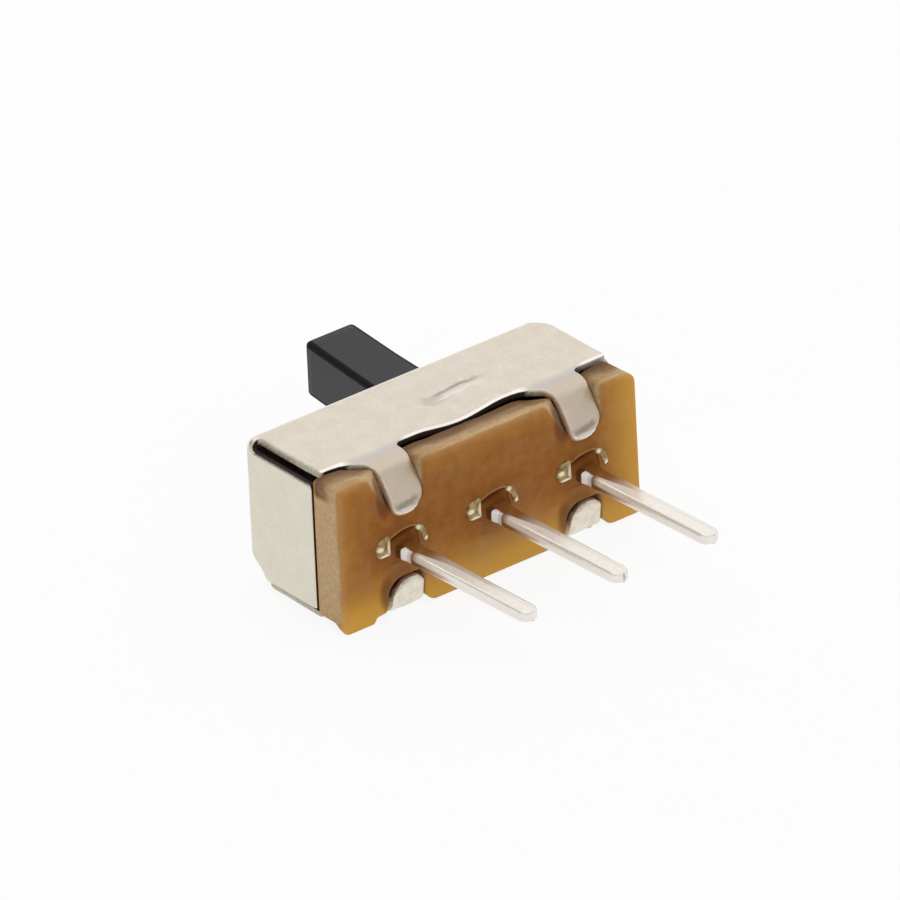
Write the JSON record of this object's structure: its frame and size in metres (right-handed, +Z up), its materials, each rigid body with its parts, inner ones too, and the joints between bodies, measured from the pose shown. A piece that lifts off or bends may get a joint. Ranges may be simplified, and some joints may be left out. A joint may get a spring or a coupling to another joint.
{
  "type": "slide switch",
  "caption": "Miniature slide switch: a folded metal cover clamped to a laminate board by bent tabs, a square sliding knob on one side and flat pins in a row on the other.",
  "frame": {"origin": "centre of the board's outer face, the face that the pins leave from", "axes": "+X along the row of pins, towards the end that the knob stands at when the switch is at rest; -Y the way the pins point and +Y the way the knob points; +Z up, with the switch lying on one long side of its cover"},
  "size_m": [0.0086, 0.0117, 0.0036],
  "materials": {
    "cover_sheet": "satin tin plate",
    "laminate": "semi-gloss",
    "terminal_metal": "bright tin plate",
    "slider_plastic": "matte",
    "clip_bronze": "satin"
  },
  "bodies": {
    "switch_body": {"cover": "cover_sheet", "board": "laminate", "terminal_left": "terminal_metal", "terminal_common": "terminal_metal", "terminal_right": "terminal_metal"},
    "knob": {"slider": "slider_plastic", "contact_clip": "clip_bronze"}
  },
  "joints": [
    {"name": "knob_slide", "type": "slide", "parent": "switch_body", "child": "knob", "axis": [1, 0, 0], "range_m": [-0.002, 0]}
  ]
}
